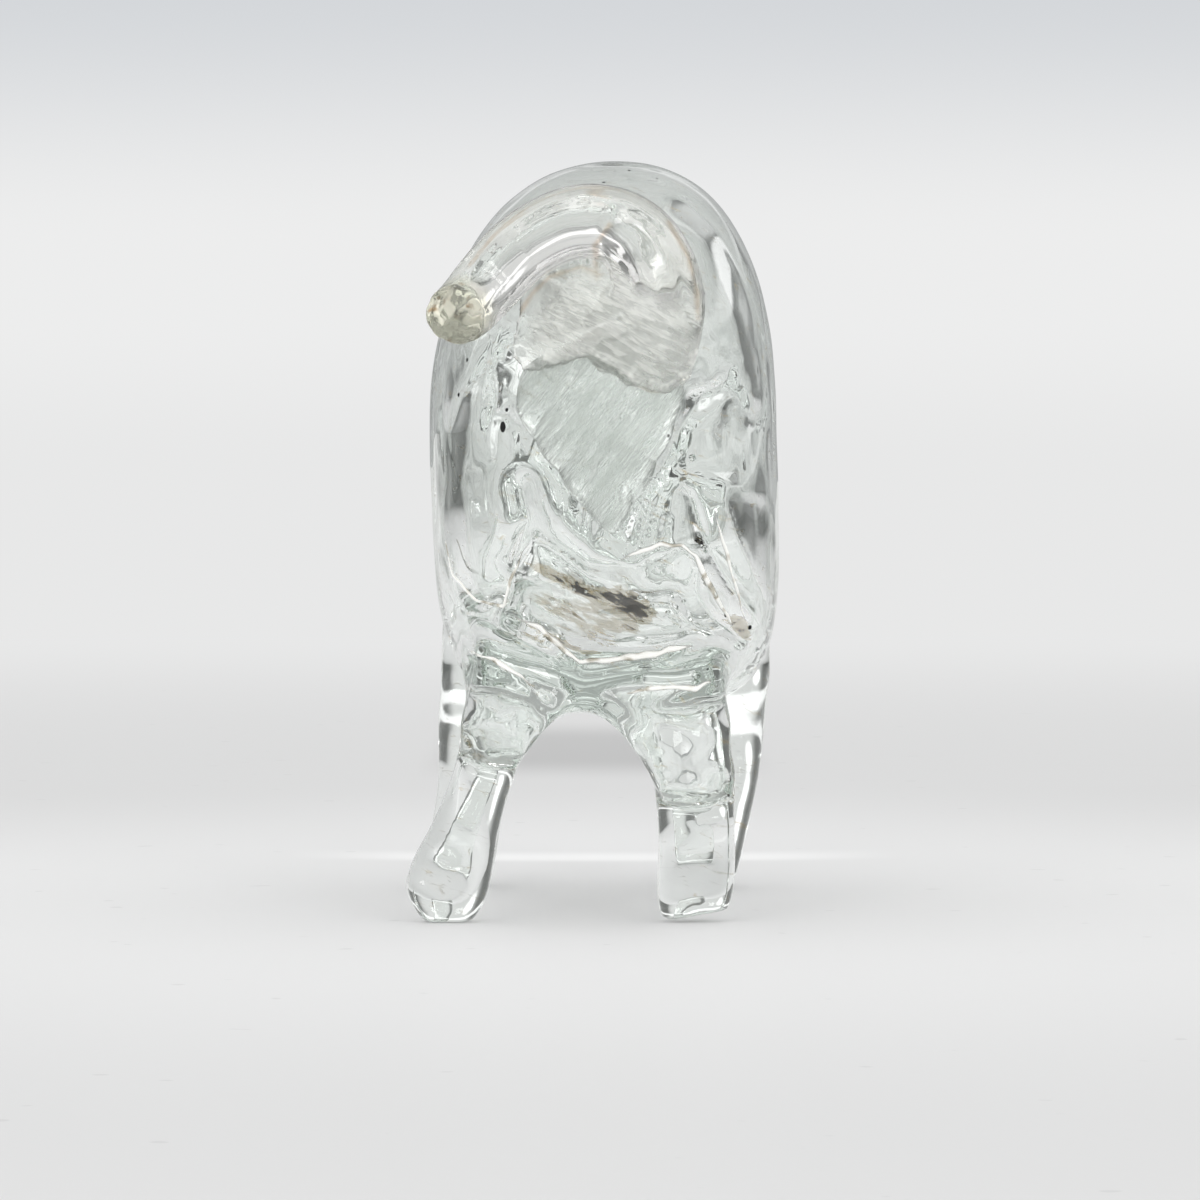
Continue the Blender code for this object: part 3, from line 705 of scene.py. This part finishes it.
# Black specks, and seeds, which are small bubbles of air, are caught in the wall. Each has its place across
# and above the torso's middle, its radius and how much it is drawn out upwards.
def caught(places, deep):
    """Small balls in the wall of the rump, this far below its skin."""
    balls = []
    for x, z, radius, stretch in places:
        dot = ball(12, 8, radius * mm)
        bmesh.ops.scale(dot, vec=(1, 1, stretch), verts=dot.verts)
        y = rump_skin(x * mm, z * mm) + deep
        bmesh.ops.translate(dot, vec=Vector((x * mm, y, z * mm)) + torso_middle, verts=dot.verts)
        balls.append(dot)
    return joined(*balls)


specks = caught([
    (-10.20, 0.54, 0.36, 1.6), (-9.79, 2.29, 0.20, 1), (-14.01, 7.54, 0.22, 1), (-14.93, 3.94, 0.24, 1),
    (10.30, 14.34, 0.22, 1), (0.10, 26.18, 0.20, 1), (2.78, 27.73, 0.16, 1), (5.67, 26.80, 0.14, 1),
    (6.28, -0.29, 0.18, 1), (15.35, -20.37, 0.26, 1), (1.24, 27.63, 0.12, 1),
], 0.5 * mm)
seeds = caught([
    (3.81, -16.87, 0.34, 1), (5.05, -17.69, 0.26, 1), (6.69, -18.41, 0.30, 1), (-1.75, -16.25, 0.18, 1),
    (-0.31, -18.52, 0.16, 1), (-7.52, -19.55, 0.24, 1), (8.96, -2.66, 0.42, 1), (7.93, -2.04, 0.30, 1),
    (2.57, -11.10, 0.20, 1), (-0.72, -20.78, 0.14, 1), (-10.09, -3.89, 0.14, 1), (-12.88, -6.98, 0.12, 1),
    (8.24, -17.28, 0.26, 1), (-2.99, -16.04, 0.20, 1), (-4.43, -17.28, 0.14, 1), (-5.67, -17.69, 0.14, 1),
    (16.17, -22.95, 0.40, 1), (14.63, -22.43, 0.28, 1),
], 1.1 * mm)
bmesh.ops.reverse_faces(seeds, faces=seeds.faces)

# One attribute marks what covers the glass: above 0 soot, at 2 a black speck, below 0 the white painted on
# the threads as a painted highlight. A streak of soot has its middle, reach, angle and strength.
body_parts = (melted, threads, hollow, specks, seeds)
counts = [len(part.verts) for part in body_parts]
body_shape = joined(*body_parts)
soot_specks_and_painted_highlight = body_shape.verts.layers.float.new("soot_specks_and_painted_highlight")
every = iter(body_shape.verts)
_, thread_verts, hollow_verts, speck_verts, _ = [list(itertools.islice(every, count)) for count in counts]
for vert in speck_verts:
    vert[soot_specks_and_painted_highlight] = 2.0
# Painted highlight: the threads are covered in white.
for vert in thread_verts:
    vert[soot_specks_and_painted_highlight] = -0.75 - 0.8 * noise.noise(vert.co / mm * 0.7)
streaks = [
    ((2.6, -16.9), (2.2, 1.1), -24, 0.95),
    ((-2.4, -15.4), (4.0, 0.5), -26, 0.70),
    ((-2.6, -18.0), (4.0, 1.4), -20, 0.26),
    ((2.2, -19.4), (1.8, 0.5), 40, 0.66),
    ((-3.6, -21.2), (3.6, 0.35), -30, 0.50),
    ((12.4, -19.4), (0.5, 1.3), 30, 0.60),
]
for vert in hollow_verts:
    if vert.co.y > torso_middle.y - rear_starts * mm:
        continue
    x, z = (vert.co.x - torso_middle.x) / mm, (vert.co.z - torso_middle.z) / mm
    for (middle_x, middle_z), (wide, high), angle, strength in streaks:
        turn = math.radians(angle)
        along = ((x - middle_x) * math.cos(turn) + (z - middle_z) * math.sin(turn)) / wide
        aside = ((z - middle_z) * math.cos(turn) - (x - middle_x) * math.sin(turn)) / high
        ragged = 1.3 * noise.noise(Vector((x / 2.6 + z / 2.6, 0.8 * z + 0.35 * x, 3)))
        inside = clamped(2.0 - 1.3 * math.hypot(along, aside) + 0.5 * ragged)
        vert[soot_specks_and_painted_highlight] = max(vert[soot_specks_and_painted_highlight], strength * inside)


soda_glass_ior = 1.5


def glass(name, skin_of, absorbs, density):
    """Clear glass. A function gives its skin a colour, roughness, relief, cover and the cover's colour."""
    material, finish = blank(name)
    colour, roughness, normal, cover, cover_colour = skin_of(finish)
    bare = {"Base Color": colour, "Roughness": roughness, "IOR": soda_glass_ior, "Transmission Weight": 1.0}
    hidden = {"Base Color": cover_colour, "Roughness": 0.5, "Specular IOR Level": 0.1}
    clear = finish.node("ShaderNodeBsdfPrincipled", sockets={**bare, "Normal": normal})
    covered = finish.node("ShaderNodeBsdfPrincipled", sockets={**hidden, "Normal": normal})
    surface = finish.node("ShaderNodeMixShader", sockets={0: cover, 1: clear, 2: covered})
    depth = finish.node("ShaderNodeVolumeAbsorption", sockets={"Color": absorbs, "Density": density})
    finish.node("ShaderNodeOutputMaterial", sockets={"Surface": surface, "Volume": depth})
    return material


def sooty_skin_and_painted_highlights(finish):
    """Fire-polished, with a slow ripple, burnt streaks on the wall of the hollow, and painted highlights on
    the threads.
    """
    place = finish.node("ShaderNodeTexCoord", output="Object")
    soot_specks_and_painted_highlight = finish.node("ShaderNodeAttribute", {"attribute_name": "soot_specks_and_painted_highlight"}, output="Fac")
    turned = {"Vector": place, "Rotation": (0, 0.42, 0), "Scale": (0.0022, 0.004, 0.00055)}
    lines = finish.node("ShaderNodeMapping", {"vector_type": "TEXTURE"}, turned)
    streaky = {"Vector": lines, "Scale": 1.0, "Detail": 5.0, "Distortion": 1.2}
    grain = finish.node("ShaderNodeTexNoise", sockets=streaky)
    tan = (soot_specks_and_painted_highlight + grain - 0.5).step(0.12, 0.30)
    burnt = (soot_specks_and_painted_highlight + 2.2 * grain - 1.10).step(0.50, 0.90)
    speck = soot_specks_and_painted_highlight.step(1.2, 1.6)
    # Painted highlight: below 0 the attribute covers the threads in white.
    painted_highlight = soot_specks_and_painted_highlight.step(-0.20, -0.70)
    cover = 0.46 * tan * (1.0 - burnt) + 0.88 * burnt + 0.95 * painted_highlight
    brown = burnt.mixed((0.48, 0.35, 0.13, 1.0), (0.030, 0.017, 0.006, 1.0))
    cover_colour = painted_highlight.mixed(speck.mixed(brown, grey(0.005)), (1.0, 1.0, 0.96, 1.0))
    slow = finish.node("ShaderNodeTexNoise", sockets={"Vector": place, "Scale": 130.0, "Detail": 1.0})
    relief = finish.node("ShaderNodeBump", sockets={"Strength": 0.25, "Distance": 0.0004, "Height": slow})
    return (0.975, 0.99, 0.98, 1.0), 0.0, relief, cover, cover_colour


green_glass = glass("green_glass", sooty_skin_and_painted_highlights, absorbs=(0.73, 0.87, 0.78, 1.0), density=5.0)
body = put("blown_body", body_shape, green_glass)
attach(body, "root")
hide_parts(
    "torso", "head", "snout", "ear_left", "ear_right",
    "leg_hind_left", "leg_hind_right", "leg_front_left", "leg_front_right",
)

# Rump seal
# The dab of greenish glass that closes the blow hole. It was pressed on hot and drawn out with a rod, which
# left brushed lines in it.
dab_sunk = 0.12 * mm


def dab(middle, outline, thickness, fullness=2.0, falloff=0.5):
    """A dab of glass on the rump. Its outline is given as points across and above the torso's middle."""
    rim = sorted((math.atan2(z - middle[1], x - middle[0]), math.dist((x, z), middle)) for x, z in outline)
    rim = [(rim[-1][0] - math.tau, rim[-1][1]), *rim, (rim[0][0] + math.tau, rim[0][1])]
    shape = ball(128, 48)
    for vert in shape.verts:
        turn = math.atan2(vert.co.z, vert.co.x)
        ring = math.hypot(vert.co.x, vert.co.z)
        reach = ring * between(rim, turn)
        x, z = middle[0] + reach * math.cos(turn), middle[1] + reach * math.sin(turn)
        uneven = 1 + 0.2 * noise.noise(Vector((x, 9, z)) * 0.35)
        out = thickness * max(0.0, 1 - ring**fullness) ** falloff * uneven
        y = rump_skin(x * mm, z * mm) - (out * mm if vert.co.y < 0 else dab_sunk)
        vert.co = Vector((x * mm, y, z * mm)) + torso_middle
    return shape


def brushed_seal(finish):
    """Drawn lines run up the dab from left to right. Between them it is a little frosty."""
    place = finish.node("ShaderNodeTexCoord", output="Object")
    turned = {"Vector": place, "Rotation": (0, 0.66, 0), "Scale": (0.0008, 0.01, 0.0062)}
    lines = finish.node("ShaderNodeMapping", {"vector_type": "TEXTURE"}, turned)
    strokes = finish.node("ShaderNodeTexNoise", sockets={"Vector": lines, "Scale": 1.0, "Detail": 4.0})
    cloud = finish.node("ShaderNodeTexNoise", sockets={"Vector": place, "Scale": 170.0, "Detail": 2.0})
    worn = (strokes + 0.5 * cloud - 0.25).step(0.36, 0.66)
    relief = finish.node("ShaderNodeBump", sockets={"Strength": 0.35, "Distance": 0.0003, "Height": worn})
    colour = worn.mixed((0.985, 0.995, 0.985, 1.0), (0.87, 0.90, 0.875, 1.0))
    return colour, 0.05 + 0.22 * worn, relief, 0.06 + 0.20 * worn, (0.66, 0.70, 0.66, 1.0)


seal_outline = [
    (-8.3, 6.2), (-8.9, 2.4), (-7.0, -0.8), (-4.6, -4.0), (-2.0, -7.6), (1.0, -10.6), (3.2, -7.2),
    (5.5, -3.0), (7.4, 1.2), (8.3, 4.9), (4.0, 7.6), (-2.0, 8.8),
]
seal_middle = (0.0, 1.0)
seal_thickness = 2.6
seal = dab(seal_middle, seal_outline, seal_thickness)
seal_glass = glass("seal_glass", brushed_seal, absorbs=(0.74, 0.86, 0.79, 1.0), density=8.0)
seal_piece = put("seal", seal, seal_glass)
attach(seal_piece, "root")
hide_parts("rump_seal")

# Tail
# A strand of faintly pink, fluted glass, stuck on above the seal, arched over to the pig's left and cut off.
# It flares at the root, where it was pressed onto the rump while it was hot.
tail_path = [
    (4.6, -37.0, 8.0, 4.9),
    (5.5, -41.5, 10.6, 4.9),
    (6.1, -44.4, 14.6, 4.6),
    (3.4, -46.0, 20.3, 4.0),
    (-2.5, -46.2, 21.8, 3.7),
    (-8.3, -46.0, 18.9, 3.5),
    (-11.6, -46.4, 15.2, 3.5),
    (-14.0, -48.8, 12.2, 3.2),
    (-14.8, -51.6, 11.6, 3.1),
]
profile_points = 72
profile_data = bpy.data.curves.new("tail_profile", "CURVE")
profile_data.dimensions = "2D"
outline = profile_data.splines.new("POLY")
outline.use_cyclic_u = True
outline.points.add(profile_points - 1)
for index, point in enumerate(outline.points):
    turn = math.tau * index / profile_points
    flutes = 0.035 * math.cos(3 * turn) + 0.02 * math.cos(8 * turn + 1) + 0.014 * math.cos(13 * turn)
    radius = mm * (1 + flutes)
    point.co = (radius * math.cos(turn), radius * math.sin(turn), 0, 1)
profile = bpy.data.objects.new("tail_profile", profile_data)
bpy.context.scene.collection.objects.link(profile)
path_data = bpy.data.curves.new("tail_path", "CURVE")
path_data.dimensions = "3D"
path_data.resolution_u = 12
path_data.bevel_mode = "OBJECT"
path_data.bevel_object = profile
path_data.use_fill_caps = True
spline = path_data.splines.new("NURBS")
spline.points.add(len(tail_path) - 1)
spline.use_endpoint_u = True
spline.order_u = 3
for point, (x, y, z, radius) in zip(spline.points, tail_path):
    point.co = (*(Vector((x, y, z)) * mm + torso_middle), 1)
    point.radius = radius
strand = swept(path_data, touching)
bpy.data.objects.remove(profile)
root_outline = [
    (-8.6, 17.2), (-9.4, 12.4), (-10.2, 8.2), (-8.6, 5.6), (-3.6, 6.6), (-1.9, 7.1), (0.5, 5.2), (3.4, 4.6),
    (6.6, 3.6), (9.0, 5.2), (10.8, 11.0), (9.8, 17.0), (2.0, 20.0), (-3.6, 20.0),
]
root_spot = (1.2, 11.6)
tail_detail = 0.3 * mm
root = dab(root_spot, root_outline, thickness=8.6, fullness=1.3, falloff=1.4)
tail = finished(
    joined(strand, root),
    ("REMESH", {"mode": "VOXEL", "voxel_size": tail_detail}),
    ("SMOOTH", {"factor": 0.5, "iterations": 6}),
)

# The fold at the top of the arch is a groove across the strand. Thin amber lines run along its inner side,
# and the rim of the root is crackled white.
fold = [(-0.9, 15.8), (-0.3, 17.6), (-0.8, 19.4), (1.0, 21.5)]
fold_depth = 0.35
amber_lines = [
    [(-11.0, 10.0), (-9.0, 11.8), (-7.3, 14.2), (-5.4, 16.0), (-2.3, 16.9), (-0.3, 16.3)],
    [(-0.6, 16.0), (-0.9, 18.4), (0.6, 20.6)],
    [(6.6, 21.0), (8.6, 17.6), (9.5, 14.0), (9.6, 11.5)],
]
crackle = [
    (-9.6, 10.5), (-8.5, 6.4), (-5.5, 7.1), (-1.5, 7.9), (1.5, 6.5), (5.9, 4.4), (8.6, 6.0), (9.8, 9.0),
]
tail.normal_update()
stained = tail.verts.layers.float.new("stained")
frosted = tail.verts.layers.float.new("frosted")
folded = []
for vert in tail.verts:
    x, z = (vert.co.x - torso_middle.x) / mm, (vert.co.z - torso_middle.z) / mm
    deep = 0.0
    if vert.normal.y < 0.2:
        deep = fold_depth * math.exp(-((to_line(x, z, fold) / 0.9) ** 2))
        nearest = min(to_line(x, z, line) for line in amber_lines)
        nearest += 0.15 * noise.noise(Vector((x, 5, z)) * 0.8)
        vert[stained] = math.exp(-((nearest / 0.28) ** 2))
        off_rim = max(0.0, to_line(x, z, crackle) + 1.1 * noise.noise(Vector((x, 2, z)) * 1.1))
        patchy = 0.6 + 0.8 * noise.noise(Vector((x, 7, z)) * 2.2)
        vert[frosted] = math.exp(-((off_rim / 0.45) ** 2)) * patchy
    folded.append(vert.co - vert.normal * deep * mm)
for vert, spot in zip(tail.verts, folded):
    vert.co = spot
tail_tip = torso_middle + Vector((-14.8, -51.0, 11.6)) * mm
root_middle = torso_middle + Vector((1.2, -45.0, 10.6)) * mm


def amber_tip(finish):
    """Clear and faintly pink. The root is brushed and frosty, and the cut tip is amber with brown marks."""
    place = finish.node("ShaderNodeTexCoord", output="Object")
    stained = finish.node("ShaderNodeAttribute", {"attribute_name": "stained"}, output="Fac")
    frosted = finish.node("ShaderNodeAttribute", {"attribute_name": "frosted"}, output="Fac")
    from_root = finish.node("ShaderNodeVectorMath", {"operation": "SUBTRACT"}, {0: place, 1: root_middle})
    x = from_root.node("ShaderNodeSeparateXYZ", sockets={0: from_root}, output="X")
    z = from_root.node("ShaderNodeSeparateXYZ", sockets={0: from_root}, output="Z")
    cloud = finish.node("ShaderNodeTexNoise", sockets={"Vector": place, "Scale": 260.0, "Detail": 4.0})
    out = finish.node("ShaderNodeSeparateXYZ", sockets={0: place}, output="Y")
    spread = x * x * 12000.0 + z * z * 22000.0 + 1.2 * cloud + out.step(-0.0535, -0.0560)
    root = spread.step(1.75, 0.9)
    turned = {"Vector": place, "Rotation": (0, 2.05, 0), "Scale": (0.0005, 0.004, 0.0026)}
    lines = finish.node("ShaderNodeMapping", {"vector_type": "TEXTURE"}, turned)
    brushed = {"Vector": lines, "Scale": 1.0, "Detail": 4.0, "Distortion": 0.6}
    strokes = finish.node("ShaderNodeTexNoise", sockets=brushed)
    ends = {0: place, 1: tail_tip}
    from_tip = finish.node("ShaderNodeVectorMath", {"operation": "DISTANCE"}, ends, "Value")
    tip = from_tip.step(0.0048, 0.0026)
    marks = finish.node("ShaderNodeTexNoise", sockets={"Vector": place, "Scale": 650.0, "Detail": 3.0})
    clear = root.mixed((0.994, 0.988, 0.980, 1.0), (0.985, 0.994, 0.975, 1.0))
    pale = tip.mixed(clear, (0.90, 0.86, 0.62, 1.0))
    lined = (0.75 * stained).mixed(pale, (0.66, 0.44, 0.26, 1.0))
    colour = (tip * marks.step(0.55, 0.66)).mixed(lined, (0.25, 0.14, 0.05, 1.0))
    brushed_height = {"Strength": 0.6, "Distance": 0.0003, "Height": root * strokes}
    relief = finish.node("ShaderNodeBump", sockets=brushed_height)
    roughness = 0.01 + 0.14 * root * strokes.step(0.35, 0.60)
    cover = 0.02 + root * (0.24 + 0.32 * strokes.step(0.42, 0.64)) + 0.5 * frosted
    return colour, roughness, relief, cover, (0.97, 0.985, 0.94, 1.0)


pink_glass = glass("pink_glass", amber_tip, absorbs=(0.92, 0.89, 0.86, 1.0), density=3.0)
tail_piece = put("curled_tail", tail, pink_glass)
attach(tail_piece, "root")
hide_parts("tail")

# Eyes
# Two dots of dark brown glass, one on each side of the head. They were touched on while the glass was hot, so
# they sit in it.
eye_radius = 1.7 * mm
dark_glass, finish = blank("dark_glass")
surface = finish.node(
    "ShaderNodeBsdfPrincipled",
    sockets={"Base Color": (0.02, 0.012, 0.008, 1.0), "Roughness": 0.05, "Coat Weight": 1.0},
)
finish.node("ShaderNodeOutputMaterial", sockets={"Surface": surface})
for side in ("left", "right"):
    low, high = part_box(f"eye_{side}")
    shape = ball(32, 20, eye_radius)
    bmesh.ops.translate(shape, vec=(Vector(low) + Vector(high)) / 2, verts=shape.verts)
    eye = put(f"eye_dot_{side}", shape, dark_glass)
    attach(eye, "root")
    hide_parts(f"eye_{side}")

# Light paths
# Light crosses many walls of glass before it reaches the room, so it may bounce more often than is usual.
bounces = bpy.context.scene.cycles
bounces.max_bounces = 32
bounces.glossy_bounces = 24
bounces.transmission_bounces = 32
